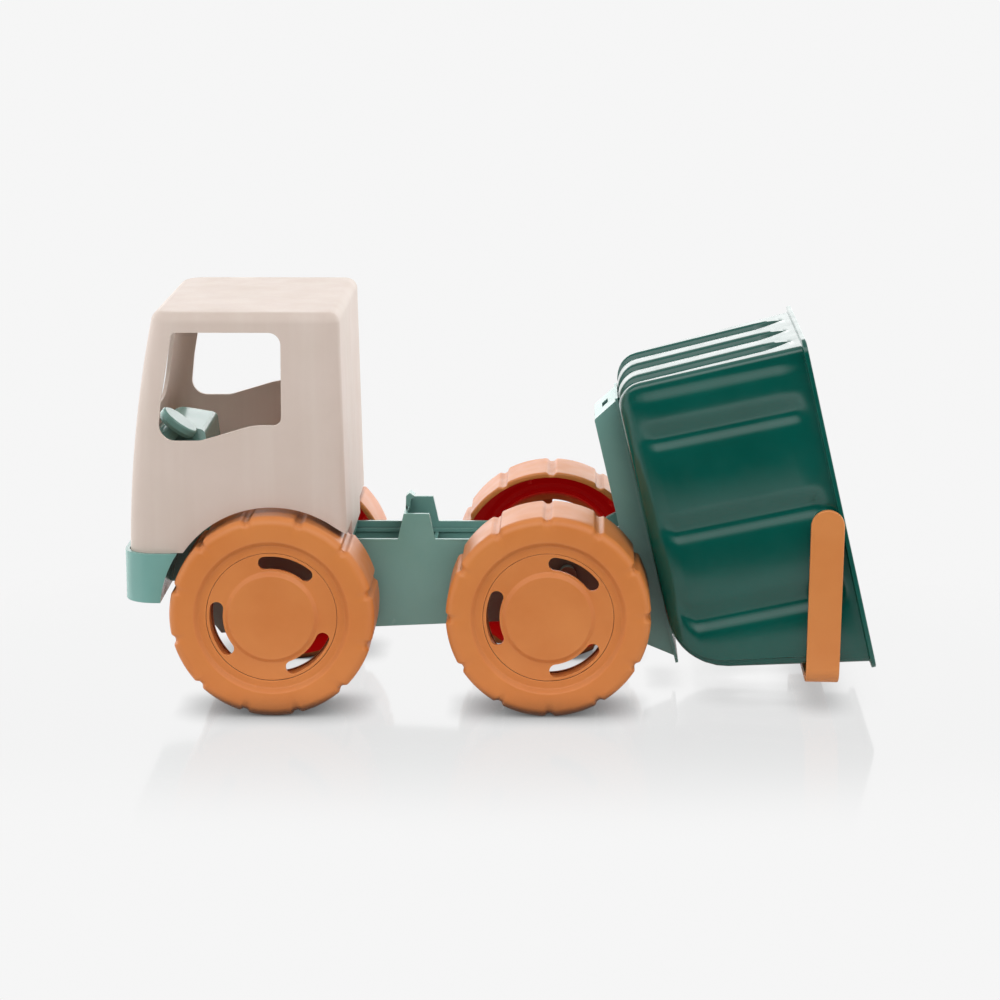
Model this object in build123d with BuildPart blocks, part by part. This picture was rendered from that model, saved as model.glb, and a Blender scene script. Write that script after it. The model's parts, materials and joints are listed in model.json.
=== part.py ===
from build123d import *

import os
from math import asin, cos, degrees, radians, sin, sqrt

os.makedirs("parts", exist_ok=True)

# A toy tipper truck with its load tub tipped back. Millimetres. +X points to the
# truck's rear, +Y to its right-hand side, +Z up. The origin is on the ground, on the
# centre plane, under the middle of the overall length. X dimensions below are measured
# from the point midway between the axles, which lies MID_X in front of the origin.

# ---------------------------------------------------------------- driving dimensions

MID_X = 48.54             # from midway between the axles back to the origin
WALL = 2.0                # moulded wall of the cab, console, tray and handle seats
BEAM_WALL = 2.2           # moulded wall of the chassis
RUNNING_GAP = 0.05        # radial clearance of every shaft that turns

WHEEL_R = 55.0
WHEEL_WIDTH = 46.0
TRACK_HALF = 83.0         # centre plane to a wheel's outer face
AXLE_X = 74.0             # half the distance between the axles
AXLE_R = 3.0
GROOVES = 12              # tread grooves round a wheel
GROOVE_HALF_WIDTH = 2.2
GROOVE_DEPTH = 1.8
DISH_DEPTH = 2.6          # how far the wheel's middle sits behind its sidewall
HUB_DISC_R = 35.0         # parting line between the tyre moulding and its hub disc
HUB_SOCKET_DEPTH = 7.8    # outer face of the wheel to the bottom of its axle socket
HUB_TUBE_R = 6.5
SLOT_R = 29.7             # centre line of a hub's curved slots
SLOT_WIDTH = 7.2
SLOT_SPAN = 45.0          # degrees between a slot's end centres
SLOT_ANGLES = {"front": 73.5, "rear": 60.5}     # middle of one slot, at rest

BEAM_HALF = 24.0
RAIL_Z = 85.0             # top of the beam's two rails
BEAM_SLOPE = 0.045        # rise of the beam's underside towards the rear
BEAM_BOTTOM_Z = 36.3      # underside of the beam midway between the axles
BOSS_R = 7.0
BOSS_END = 37.5           # centre plane to the end of an axle boss

BUMPER_FRONT_X = -154.4
BUMPER_REAR_X = -100.0
BUMPER_HALF = 74.4
BUMPER_BOTTOM_Z = 61.0
BUMPER_TOP_Z = 88.0
BUMPER_CORNER_R = 17.0
BUMPER_WALL = 2.4
ARCH_R = 60.5             # wheel arch, concentric with the front axle
CAB_ARCH_R = 58.0         # the cab's side hides the chassis arch behind it

POST_TOP_Z = 99.3
POST_BASE = (-9.5, 11.0)  # the pedestal plates' foot, front and rear X
POST_TOP = (-6.2, 7.9)

CAB_TOP_Z = 217.5
CAB_BOTTOM_Z = 80.0
CAB_HALF_BOTTOM = 71.8
CAB_HALF_TOP = 71.0
CAB_FRONT = ((-151.6, CAB_BOTTOM_Z), (-147.3, 149.9), (-136.0, CAB_TOP_Z))
CAB_REAR_X = (-33.9, -36.6)        # at the bottom and at the roof
CAB_CORNER_R = (14.0, 8.0)         # front and rear upright corners
CAB_ROOF_R = 6.0
WINDSCREEN_HALF = 53.0

HINGE_X = 84.0
HINGE_Z = 66.0
HINGE_R = 2.5
TIP_ANGLE = 77.0
EAR_R = 9.0
EAR_INNER = 18.2
EAR_OUTER = 21.2
STOP_DISTANCE = 33.0      # hinge line to the beam's slanted stop face
TRAY_FLOOR = 33.4         # heights above the hinge line, square to the bed
TRAY_TOP = 48.5
TRAY_HALF = 23.0
RIM_TOP = 153.5

TUB_WALL = 2.4
TUB_FRONT = (-99.5, -101.5)        # along the bed, at the base and at the rim
TUB_REAR = (59.2, 76.4)
TUB_HALF = (54.0, 63.4)
TUB_FLANGE = 3.2
TUB_FLANGE_THICKNESS = 2.5

HANDLE_PIVOT = (-4.5, 143.9)       # along and above the bed
HANDLE_LEAN = 1.0                  # the hanging handle leans forward by this much
HANDLE_WIDTH = 18.0
HANDLE_INNER = 85.0                # pivot to the cross bar's inner face
HANDLE_CORNER_R = 9.0
STRAP = 2.8
ARM_INNER = 67.3                   # centre plane to an arm's inner face
STUD_R = 4.0

SCREW_R = 1.5
SCREW_HEAD_R = 3.0
SCREW_HEAD = 2.0

# ---------------------------------------------------------------- planes and helpers

SIDE = Plane(origin=(-MID_X, 0, 0), x_dir=(1, 0, 0), z_dir=(0, -1, 0))    # x, height
LEVEL = Plane(origin=(-MID_X, 0, 0))                                       # x, y
CROSS = Plane(origin=(-MID_X, 0, 0), x_dir=(0, 1, 0), z_dir=(1, 0, 0))     # y, height

tip = radians(TIP_ANGLE)
along_bed = Vector(cos(tip), 0, -sin(tip))
above_bed = Vector(sin(tip), 0, cos(tip))
hinge = Vector(HINGE_X - MID_X, 0, HINGE_Z)
BED = Plane(origin=hinge, x_dir=along_bed, z_dir=above_bed)
BED_SIDE = Plane(origin=hinge, x_dir=along_bed, z_dir=(0, -1, 0))
BED_CROSS = Plane(origin=hinge, x_dir=(0, 1, 0), z_dir=along_bed)


def bed_point(along, y, above):
    """A place on the tipped bed, from distances along and above it."""
    return hinge + along_bed * along + above_bed * above + Vector(0, y, 0)


def profile(plane, corners):
    """The face inside a closed outline of (x, y, corner radius) points."""
    with BuildSketch(plane) as outline:
        with BuildLine():
            FilletPolyline(*[(x, y) for x, y, r in corners], radius=[r for x, y, r in corners], close=True)
        make_face()
    return outline.sketch


def round_rod(plane, radius, length):
    """A plain round bar that starts on a plane and runs along its normal."""
    with BuildPart() as rod:
        with BuildSketch(plane):
            Circle(radius)
        extrude(amount=length)
    return rod.part


def screw(plane, length):
    """A pan-head screw whose head sits under a plane and whose shank runs up from it."""
    with BuildPart() as one:
        with BuildSketch(plane.offset(-SCREW_HEAD)):
            Circle(SCREW_HEAD_R)
        extrude(amount=SCREW_HEAD)
        fillet(one.faces().sort_by(Axis(plane.origin, plane.z_dir))[0].edges(), SCREW_HEAD_R / 4)
        with BuildSketch(plane):
            Circle(SCREW_R)
        extrude(amount=length)
    return one.part


# ---------------------------------------------------------------- wheels

GROOVE_CUTTER_R = (GROOVE_HALF_WIDTH**2 + GROOVE_DEPTH**2) / (2 * GROOVE_DEPTH)
TYRE_INNER_R = WHEEL_R - 3.2
COLLAR_R = HUB_DISC_R + 2.4
COLLAR_SHOULDER = 12.0             # depth at which the hub disc seats in the tyre
COLLAR_END = 14.0

tyre_section = [
    (HUB_DISC_R, DISH_DEPTH, 0.4),
    (39.0, DISH_DEPTH, 2.0),
    (41.5, 0, 2.0),
    (WHEEL_R, 0, 4.5),
    (WHEEL_R, WHEEL_WIDTH, 1.0),
    (TYRE_INNER_R, WHEEL_WIDTH, 0.5),
    (TYRE_INNER_R, 3.2, 3.0),
    (43.0, 3.2, 1.5),
    (40.6, 5.8, 1.5),
    (COLLAR_R, 5.8, 0.5),
    (COLLAR_R, COLLAR_END, 0),
    (HUB_DISC_R - 2.4, COLLAR_END, 0),
    (HUB_DISC_R - 2.4, COLLAR_SHOULDER, 0),
    (HUB_DISC_R, COLLAR_SHOULDER, 0),
]

hub_edge_r = HUB_DISC_R - RUNNING_GAP
hub_section = [
    (0, 0.6, 0),
    (22.8, 0.6, 1.6),
    (25.0, DISH_DEPTH, 1.6),
    (hub_edge_r, DISH_DEPTH, 0.4),
    (hub_edge_r, COLLAR_SHOULDER, 0),
    (hub_edge_r - 2.0, COLLAR_SHOULDER, 0),
    (hub_edge_r - 2.0, 4.8, 1.0),
    (24.2, 4.8, 1.0),
    (22.4, 2.9, 1.0),
    (HUB_TUBE_R, 2.9, 1.0),
    (HUB_TUBE_R, WHEEL_WIDTH - 1, 0),
    (AXLE_R, WHEEL_WIDTH - 1, 0),
    (AXLE_R, HUB_SOCKET_DEPTH, 0),
    (0, HUB_SOCKET_DEPTH, 0),
]

for end, axle_x in (("front", -AXLE_X), ("rear", AXLE_X)):
    for hand, side in (("left", -1), ("right", 1)):
        centre = (axle_x - MID_X, side * TRACK_HALF, WHEEL_R)
        outer_face = Plane(origin=centre, x_dir=(1, 0, 0), z_dir=(0, side, 0))
        section = Plane(origin=centre, x_dir=(1, 0, 0), z_dir=(0, 0, -side))
        wheel_axis = Axis(centre, (0, 1, 0))
        slot_angle = SLOT_ANGLES[end]
        slot_starts = [slot_angle - SLOT_SPAN / 2 + 120 * turn for turn in range(3)]
        slot_arcs = [CenterArc((0, 0), SLOT_R, start, SLOT_SPAN) for start in slot_starts]

        with BuildPart() as tyre:
            revolve(profile(section, tyre_section), axis=wheel_axis)
            with BuildSketch(outer_face.offset(-DISH_DEPTH)):
                with PolarLocations(TYRE_INNER_R - 2.0, 6, start_angle=slot_angle + 15):
                    Rectangle(4.4, 1.6)
            extrude(amount=-(WHEEL_WIDTH - 10))
            with BuildSketch(outer_face):
                with PolarLocations(WHEEL_R - GROOVE_DEPTH + GROOVE_CUTTER_R, GROOVES, start_angle=slot_angle):
                    Circle(GROOVE_CUTTER_R)
            extrude(amount=-WHEEL_WIDTH, mode=Mode.SUBTRACT)
        tyre_name = f"wheel_shell_{end}_{hand}"
        tyre.part.label = tyre_name
        export_step(tyre.part, f"parts/{tyre_name}.step")

        with BuildPart() as hub:
            revolve(profile(section, hub_section), axis=wheel_axis)
            with BuildSketch(outer_face.offset(-4.0)):
                with PolarLocations((HUB_TUBE_R + HUB_DISC_R) / 2 - 1, 3, start_angle=slot_angle + 60):
                    Rectangle(HUB_DISC_R - HUB_TUBE_R - 1.5, 1.6)
            extrude(amount=-(COLLAR_SHOULDER - 4.5))
            with BuildSketch(outer_face):
                for arc in slot_arcs:
                    SlotArc(arc, SLOT_WIDTH)
            extrude(amount=-COLLAR_SHOULDER, mode=Mode.SUBTRACT)
        hub_name = f"wheel_hub_{end}_{hand}"
        hub.part.label = hub_name
        export_step(hub.part, f"parts/{hub_name}.step")

    axle_half = TRACK_HALF - HUB_SOCKET_DEPTH - 0.2
    with BuildPart() as axle:
        add(round_rod(Plane((axle_x - MID_X, axle_half, WHEEL_R), z_dir=(0, -1, 0)), AXLE_R, 2 * axle_half))
        chamfer(axle.edges().filter_by(GeomType.CIRCLE), 0.5)
    axle.part.label = f"{end}_axle"
    export_step(axle.part, f"parts/{end}_axle.step")

# ---------------------------------------------------------------- chassis


def beam_bottom(x):
    """Height of the beam's underside."""
    return BEAM_BOTTOM_Z + BEAM_SLOPE * x


def stop_x(z, distance):
    """Where the tipped bed plane, at a distance from the hinge, crosses a height."""
    return HINGE_X + (distance - (z - HINGE_Z) * cos(tip)) / sin(tip)


NOSE_X = -130.0                    # the beam's underside leaves the bumper here
BEAM_KNEE_X = -108.0
beam_rear_x = stop_x(42.0, STOP_DISTANCE)
rail_end_x = HINGE_X + sqrt(STOP_DISTANCE**2 - (RAIL_Z - HINGE_Z) ** 2)
stop_start = (HINGE_X + STOP_DISTANCE * sin(tip), HINGE_Z + STOP_DISTANCE * cos(tip))
REAR_SILL_Z = 52.0
WHEEL_BAY = 80.0                   # length kept clear beside the beam for a wheel
inner_half = BEAM_HALF - BEAM_WALL
bumper_floor_z = BUMPER_BOTTOM_Z + BEAM_WALL
front_axle_place = (-AXLE_X, WHEEL_R)

BRIDGE = (-47.0, -35.0)            # the plate that carries the cab's rear screws
FRONT_SCREWS = [(-143.0, -52.0), (-143.0, 52.0)]
REAR_SCREWS = [(-41.0, -12.0), (-41.0, 12.0)]
SCREW_CLEARANCE = 0.2
SCREW_BOSS_R = 5.0
SCREW_GRIP = 12.0                  # shank length
screw_seat_z = BUMPER_BOTTOM_Z + SCREW_HEAD + SCREW_CLEARANCE      # the front heads are sunk
front_foot_z = screw_seat_z + WALL                                 # top of their bosses

# The bumper's pocket, less the walls that line the two wheel arches.
with BuildPart() as bumper_pocket:
    inner_front = BUMPER_FRONT_X + BUMPER_WALL
    inner_side = BUMPER_HALF - BUMPER_WALL
    inner_r = BUMPER_CORNER_R - BUMPER_WALL
    pocket_plan = [
        (BUMPER_REAR_X, -inner_side, 0),
        (BUMPER_REAR_X, inner_side, 0),
        (inner_front, inner_side, inner_r),
        (inner_front, -inner_side, inner_r),
    ]
    extrude(profile(LEVEL.offset(bumper_floor_z), pocket_plan), amount=BUMPER_TOP_Z - bumper_floor_z)
    for side in (-1, 1):
        with BuildSketch(SIDE.offset(-side * inner_half)):
            with Locations(front_axle_place):
                Circle(ARCH_R + BEAM_WALL)
        extrude(amount=-side * BUMPER_HALF, mode=Mode.SUBTRACT)

with BuildPart() as chassis:
    # Bumper tray and beam as solid blocks.
    bumper_plan = [
        (BUMPER_REAR_X, -BUMPER_HALF, 0),
        (BUMPER_REAR_X, BUMPER_HALF, 0),
        (BUMPER_FRONT_X, BUMPER_HALF, BUMPER_CORNER_R),
        (BUMPER_FRONT_X, -BUMPER_HALF, BUMPER_CORNER_R),
    ]
    extrude(profile(LEVEL.offset(BUMPER_BOTTOM_Z), bumper_plan), amount=BUMPER_TOP_Z - BUMPER_BOTTOM_Z)
    with BuildSketch(SIDE):
        with BuildLine():
            Polyline(
                (rail_end_x, RAIL_Z),
                (NOSE_X - 15, RAIL_Z),
                (NOSE_X - 15, BUMPER_BOTTOM_Z),
                (NOSE_X, BUMPER_BOTTOM_Z),
                (BEAM_KNEE_X, beam_bottom(BEAM_KNEE_X)),
                (beam_rear_x, 42.0),
                stop_start,
            )
            arc_start = 90 - TIP_ANGLE
            arc_end = degrees(asin((RAIL_Z - HINGE_Z) / STOP_DISTANCE))
            CenterArc((HINGE_X, HINGE_Z), STOP_DISTANCE, arc_start, arc_end - arc_start)
        make_face()
    extrude(amount=BEAM_HALF, both=True)

    # Wheel arches, the bumper's pocket and the beam's trough.
    for side in (-1, 1):
        with BuildSketch(SIDE.offset(-side * BEAM_HALF)):
            with Locations(front_axle_place):
                Circle(ARCH_R)
        extrude(amount=-side * BUMPER_HALF, mode=Mode.SUBTRACT)
    add(bumper_pocket.part, mode=Mode.SUBTRACT)
    trough = [
        (inner_front + 8, bumper_floor_z, 0),
        (NOSE_X + 1, bumper_floor_z, 0),
        (BEAM_KNEE_X + 1, beam_bottom(BEAM_KNEE_X) + BEAM_WALL, 0),
        (stop_x(44.0, STOP_DISTANCE - BEAM_WALL), 44.0, 0),
        (stop_x(REAR_SILL_Z, STOP_DISTANCE - BEAM_WALL), REAR_SILL_Z, 0),
        (beam_rear_x + 5, REAR_SILL_Z, 0),
        (beam_rear_x + 5, BUMPER_TOP_Z + 5, 0),
        (inner_front + 8, BUMPER_TOP_Z + 5, 0),
    ]
    extrude(profile(SIDE, trough), amount=inner_half, both=True, mode=Mode.SUBTRACT)
    # The bumper's middle is no higher than its rim, and the wheel space is clear.
    with BuildSketch(LEVEL.offset(BUMPER_BOTTOM_Z)):
        with Locations((-AXLE_X, 0)):
            Rectangle(WHEEL_BAY, 2 * BUMPER_HALF + 2)
            Rectangle(WHEEL_BAY, 2 * BEAM_HALF, mode=Mode.SUBTRACT)
    extrude(amount=BUMPER_TOP_Z - BUMPER_BOTTOM_Z, mode=Mode.SUBTRACT)

    # Small ledge along the inside of each rail.
    for side in (-1, 1):
        with BuildSketch(SIDE.offset(side * (inner_half - 1.0))):
            with Locations((2.0, RAIL_Z - 5.0)):
                Rectangle(84, 2.0)
        extrude(amount=side * 1.0)

    # Bosses over the sunk heads of the cab's front screws.
    with BuildSketch(LEVEL.offset(BUMPER_BOTTOM_Z)):
        with Locations(*FRONT_SCREWS):
            Circle(SCREW_BOSS_R)
    extrude(amount=front_foot_z - BUMPER_BOTTOM_Z)

    # Axle bosses outside the beam.
    for side in (-1, 1):
        with BuildSketch(SIDE.offset(side * inner_half)):
            with Locations((-AXLE_X, WHEEL_R), (AXLE_X, WHEEL_R)):
                Circle(BOSS_R)
        extrude(amount=side * (BOSS_END - inner_half))

    # Pedestal that the lowered tray rests on: two plates and two cross walls.
    plate = [
        (POST_BASE[0], RAIL_Z - 4, 0),
        (POST_BASE[0], RAIL_Z, 0),
        (POST_TOP[0], POST_TOP_Z, 0),
        (POST_TOP[1], POST_TOP_Z, 0),
        (POST_BASE[1], RAIL_Z, 0),
        (POST_BASE[1], RAIL_Z - 4, 0),
    ]
    for side in (-1, 1):
        extrude(profile(SIDE.offset(side * inner_half), plate), amount=side * BEAM_WALL)
    front_wall = [
        (POST_BASE[0], beam_bottom(POST_BASE[0]) + 1, 0),
        (POST_BASE[0], RAIL_Z, 0),
        (POST_TOP[0], POST_TOP_Z, 0),
        (POST_TOP[0] + WALL, POST_TOP_Z, 0),
        (POST_BASE[0] + WALL, RAIL_Z, 0),
        (POST_BASE[0] + WALL, beam_bottom(POST_BASE[0]) + 1, 0),
    ]
    extrude(profile(SIDE, front_wall), amount=inner_half + 0.5, both=True)
    rear_wall = [
        (POST_BASE[1] - WALL, beam_bottom(POST_BASE[1]) + 1, 0),
        (POST_BASE[1] - WALL, RAIL_Z - 6, 0),
        (POST_BASE[1], RAIL_Z - 6, 0),
        (POST_BASE[1], beam_bottom(POST_BASE[1]) + 1, 0),
    ]
    extrude(profile(SIDE, rear_wall), amount=inner_half + 0.5, both=True)

    # Latch hook for the lowered tray, drawn relaxed and just clear of its slot.
    hook = [
        (POST_TOP[0], POST_TOP_Z - 3, 0),
        (POST_TOP[0] + 0.3, POST_TOP_Z + 5.8, 0.8),
        (POST_TOP[0] + 2.4, POST_TOP_Z + 7.6, 0.6),
        (POST_TOP[0] + 5.4, POST_TOP_Z + 5.4, 0.4),
        (POST_TOP[0] + 2.8, POST_TOP_Z + 3.8, 0.4),
        (POST_TOP[0] + WALL, POST_TOP_Z - 3, 0),
    ]
    extrude(profile(SIDE, hook), amount=4.5, both=True)

    # Bridge for the cab's rear screws.
    with BuildSketch(LEVEL.offset(RAIL_Z - BEAM_WALL)):
        with Locations(((BRIDGE[0] + BRIDGE[1]) / 2, 0)):
            Rectangle(BRIDGE[1] - BRIDGE[0], 2 * inner_half + 1)
    extrude(amount=BEAM_WALL)

    # Holes: axles, hinge pin, screws.
    with BuildSketch(SIDE):
        with Locations((-AXLE_X, WHEEL_R), (AXLE_X, WHEEL_R)):
            Circle(AXLE_R + RUNNING_GAP)
        with Locations((HINGE_X, HINGE_Z)):
            Circle(HINGE_R)
    extrude(amount=BOSS_END + 1, both=True, mode=Mode.SUBTRACT)
    with BuildSketch(LEVEL.offset(BUMPER_BOTTOM_Z)):
        with Locations(*FRONT_SCREWS, *REAR_SCREWS):
            Circle(SCREW_R + SCREW_CLEARANCE)
    extrude(amount=RAIL_Z - BUMPER_BOTTOM_Z + 1, mode=Mode.SUBTRACT)
    with BuildSketch(LEVEL.offset(BUMPER_BOTTOM_Z)):
        with Locations(*FRONT_SCREWS):
            Circle(SCREW_HEAD_R + SCREW_CLEARANCE)
    extrude(amount=screw_seat_z - BUMPER_BOTTOM_Z, mode=Mode.SUBTRACT)
chassis.part.label = "chassis"
export_step(chassis.part, "parts/chassis.step")

# ---------------------------------------------------------------- cab

window = [
    (-125.0, 207.1, 3.0),
    (-67.4, 207.1, 6.5),
    (-67.8, 157.3, 4.5),
    (-83.0, 157.3, 35.0),
    (-111.0, 148.9, 14.0),
    (-133.8, 148.9, 8.5),
    (-131.3, 172.0, 40.0),
]


def cab_block(inset, bottom_z):
    """The cab's outer form, or its hollow when inset by the wall."""
    (x0, z0), (x1, z1), (x2, z2) = CAB_FRONT
    top_z = CAB_TOP_Z - inset
    with BuildPart() as block:
        with BuildSketch(SIDE):
            with BuildLine():
                ThreePointArc((x0 + inset, bottom_z), (x1 + inset, z1), (x2 + inset, top_z))
                Polyline(
                    (x2 + inset, top_z),
                    (CAB_REAR_X[1] - inset, top_z),
                    (CAB_REAR_X[0] - inset, bottom_z),
                    (x0 + inset, bottom_z),
                )
            make_face()
        extrude(amount=CAB_HALF_BOTTOM + 5, both=True)
        across = [
            (-CAB_HALF_BOTTOM + inset, bottom_z, 0),
            (CAB_HALF_BOTTOM - inset, bottom_z, 0),
            (CAB_HALF_TOP - inset, top_z, 0),
            (-CAB_HALF_TOP + inset, top_z, 0),
        ]
        extrude(profile(CROSS, across), amount=200, both=True, mode=Mode.INTERSECT)
        uprights = block.edges().filter_by(lambda e: abs(e.center().Z - 150) < 20).sort_by(Axis.X)
        fillet(uprights[:2], CAB_CORNER_R[0] - inset)
        uprights = block.edges().filter_by(lambda e: abs(e.center().Z - 150) < 20).sort_by(Axis.X)
        fillet(uprights[-2:], CAB_CORNER_R[1] - inset)
        fillet(block.faces().sort_by(Axis.Z)[-1].edges(), CAB_ROOF_R - inset)
    return block.part


cab_hollow = cab_block(WALL, CAB_BOTTOM_Z - 1)
SCREW_POST_R = 4.0
with BuildPart() as cab_shell:
    add(cab_block(0, CAB_BOTTOM_Z))
    add(cab_hollow, mode=Mode.SUBTRACT)

    # Openings: side windows, windscreen, wheel arches, and the foot over the beam.
    extrude(profile(SIDE, window), amount=CAB_HALF_BOTTOM + 1, both=True, mode=Mode.SUBTRACT)
    windscreen = [
        (-WINDSCREEN_HALF, 152.5, 14.0),
        (WINDSCREEN_HALF, 152.5, 14.0),
        (WINDSCREEN_HALF - 2, 206.5, 8.0),
        (-WINDSCREEN_HALF + 2, 206.5, 8.0),
    ]
    extrude(profile(CROSS.offset(BUMPER_FRONT_X), windscreen), amount=30, mode=Mode.SUBTRACT)
    for side in (-1, 1):
        with BuildSketch(SIDE.offset(-side * (BEAM_HALF + 6))):
            with Locations(front_axle_place):
                Circle(CAB_ARCH_R)
        extrude(amount=-side * CAB_HALF_BOTTOM, mode=Mode.SUBTRACT)
    with BuildSketch(SIDE):
        with Locations(front_axle_place):
            Circle(ARCH_R + BEAM_WALL + 0.5)
        with Locations((-AXLE_X, BUMPER_TOP_Z + 50)):
            Rectangle(200, 100, mode=Mode.SUBTRACT)
    extrude(amount=CAB_HALF_BOTTOM + 1, both=True, mode=Mode.SUBTRACT)
    # The rear wall's foot stands on the rails.
    with BuildSketch(LEVEL.offset(CAB_BOTTOM_Z)):
        with Locations((CAB_REAR_X[0], 0)):
            Rectangle(40, 2 * CAB_HALF_BOTTOM + 2)
    extrude(amount=RAIL_Z - CAB_BOTTOM_Z, mode=Mode.SUBTRACT)

    # Screw posts, each tied to the wall by a web.
    for places, foot_z, top_z, wall_x in (
        (FRONT_SCREWS, front_foot_z, 96.0, -150.2),
        (REAR_SCREWS, RAIL_Z, 102.0, -35.2),
    ):
        with BuildSketch(LEVEL.offset(foot_z)):
            with Locations(*places):
                Circle(SCREW_POST_R)
        extrude(amount=top_z - foot_z)
        web_foot = max(foot_z, CAB_BOTTOM_Z)
        with BuildSketch(LEVEL.offset(web_foot)):
            with Locations(*[((x + wall_x) / 2, y) for x, y in places]):
                Rectangle(abs(wall_x - places[0][0]), WALL)
        extrude(amount=top_z - web_foot)
        with BuildSketch(LEVEL.offset(foot_z)):
            with Locations(*places):
                Circle(SCREW_R)
        extrude(amount=SCREW_GRIP, mode=Mode.SUBTRACT)
cab_shell.part.label = "cab_shell"
export_step(cab_shell.part, "parts/cab_shell.step")

with BuildPart() as cab_screws:
    for x, y in FRONT_SCREWS:
        add(screw(Plane((x - MID_X, y, screw_seat_z)), SCREW_GRIP))
    for x, y in REAR_SCREWS:
        add(screw(Plane((x - MID_X, y, RAIL_Z - BEAM_WALL)), SCREW_GRIP))
cab_screws.part.label = "cab_screws"
export_step(cab_screws.part, "parts/cab_screws.step")

# ---------------------------------------------------------------- console and wheel

STEER_TILT = 37.0
STEER_PLACE = (-127.5, -36.0, 152.0)
STEER_R = 11.0
STEER_HALF = 3.0
STEER_STUB_R = 2.5
COLUMN_R = 4.5
COLUMN_LENGTH = 14.0
steer_centre = Vector(STEER_PLACE[0] - MID_X, STEER_PLACE[1], STEER_PLACE[2])
steer_axis = Vector(sin(radians(STEER_TILT)), 0, cos(radians(STEER_TILT)))
column_top = Plane(steer_centre - steer_axis * (STEER_HALF + 0.4), z_dir=steer_axis)

CONSOLE_FOOT_Z = 118.0
CONSOLE_FRONT_X = -143.8
CONSOLE_PEAK_Z = 150.4
CONSOLE_TOP_HALF = 24.0
CONSOLE_FOOT_HALF = 42.0
STEM_HALF = 17.0
STEM_X = -134.0
STEM_LENGTH = 14.0
STEM_TOP_Z = 143.0


def console_block(inset, foot_z):
    """The console's outer form, or its hollow when inset by the wall."""
    with BuildPart() as block:
        lengthwise = [
            (CONSOLE_FRONT_X + inset, foot_z, 0),
            (CONSOLE_FRONT_X + inset, 143.0 - inset, 4.0),
            (-134.5, CONSOLE_PEAK_Z - inset, 8.0),
            (-113.5 - inset, 146.4 - inset, 4.0 - inset),
            (-112.5 - inset, foot_z, 0),
        ]
        extrude(profile(SIDE, lengthwise), amount=60, both=True)
        across = [
            (-CONSOLE_FOOT_HALF + inset, foot_z, 0),
            (CONSOLE_FOOT_HALF - inset, foot_z, 0),
            (CONSOLE_TOP_HALF - inset, CONSOLE_PEAK_Z + 1.6 - inset, 8.0),
            (-CONSOLE_TOP_HALF + inset, CONSOLE_PEAK_Z + 1.6 - inset, 8.0),
        ]
        extrude(profile(CROSS, across), amount=200, both=True, mode=Mode.INTERSECT)
    return block.part


with BuildPart() as console_hollow:
    add(console_block(WALL, CONSOLE_FOOT_Z - 1))
    with BuildSketch(LEVEL.offset(CONSOLE_FOOT_Z - 1)):
        with Locations((STEM_X, 0)):
            Rectangle(STEM_LENGTH, 2 * STEM_HALF)
    extrude(amount=40, mode=Mode.SUBTRACT)

with BuildPart() as dashboard_console:
    add(console_block(0, CONSOLE_FOOT_Z))
    add(console_hollow.part, mode=Mode.SUBTRACT)
    # Hollow stem down to the bumper's floor.
    with BuildSketch(LEVEL.offset(bumper_floor_z)):
        with Locations((STEM_X, 0)):
            Rectangle(STEM_LENGTH, 2 * STEM_HALF)
    extrude(amount=CONSOLE_FOOT_Z + 1 - bumper_floor_z)
    with BuildSketch(LEVEL.offset(bumper_floor_z)):
        with Locations((STEM_X, 0)):
            Rectangle(STEM_LENGTH - 2 * WALL, 2 * (STEM_HALF - WALL))
    extrude(amount=STEM_TOP_Z - bumper_floor_z, mode=Mode.SUBTRACT)
    # Steering column on a post.
    with BuildSketch(LEVEL.offset(CONSOLE_FOOT_Z)):
        with Locations((STEER_PLACE[0] - 7.5, STEER_PLACE[1])):
            Circle(COLUMN_R + 1)
    extrude(amount=20)
    with BuildSketch(column_top):
        Circle(COLUMN_R)
    extrude(amount=-COLUMN_LENGTH)
    with BuildSketch(column_top):
        Circle(STEER_STUB_R + RUNNING_GAP)
    extrude(amount=-(COLUMN_LENGTH - 2), mode=Mode.SUBTRACT)
dashboard_console.part.label = "dashboard_console"
export_step(dashboard_console.part, "parts/dashboard_console.step")

with BuildPart() as steering_wheel:
    steer_section = Plane(steer_centre, x_dir=(0, 1, 0), z_dir=steer_axis.cross(Vector(0, 1, 0)) * -1)
    disc = [
        (0, -STEER_HALF, 0),
        (STEER_R - 1.5, -STEER_HALF, 1.2),
        (STEER_R, -0.6, 0.8),
        (STEER_R, STEER_HALF, 1.2),
        (0, STEER_HALF, 0),
    ]
    revolve(profile(steer_section, disc), axis=Axis(steer_centre, steer_axis))
    with BuildSketch(Plane(steer_centre, z_dir=steer_axis)):
        Circle(STEER_STUB_R)
    extrude(amount=-(STEER_HALF + COLUMN_LENGTH - 3))
steering_wheel.part.label = "steering_wheel"
export_step(steering_wheel.part, "parts/steering_wheel.step")

# ---------------------------------------------------------------- hinge

PIN_HALF = 28.0
CAP_R = 5.0
CAP_END = 29.5
with BuildPart() as hinge_pin:
    add(round_rod(Plane((hinge.X, PIN_HALF, HINGE_Z), z_dir=(0, -1, 0)), HINGE_R, 2 * PIN_HALF))
hinge_pin.part.label = "hinge_pin"
export_step(hinge_pin.part, "parts/hinge_pin.step")

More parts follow.
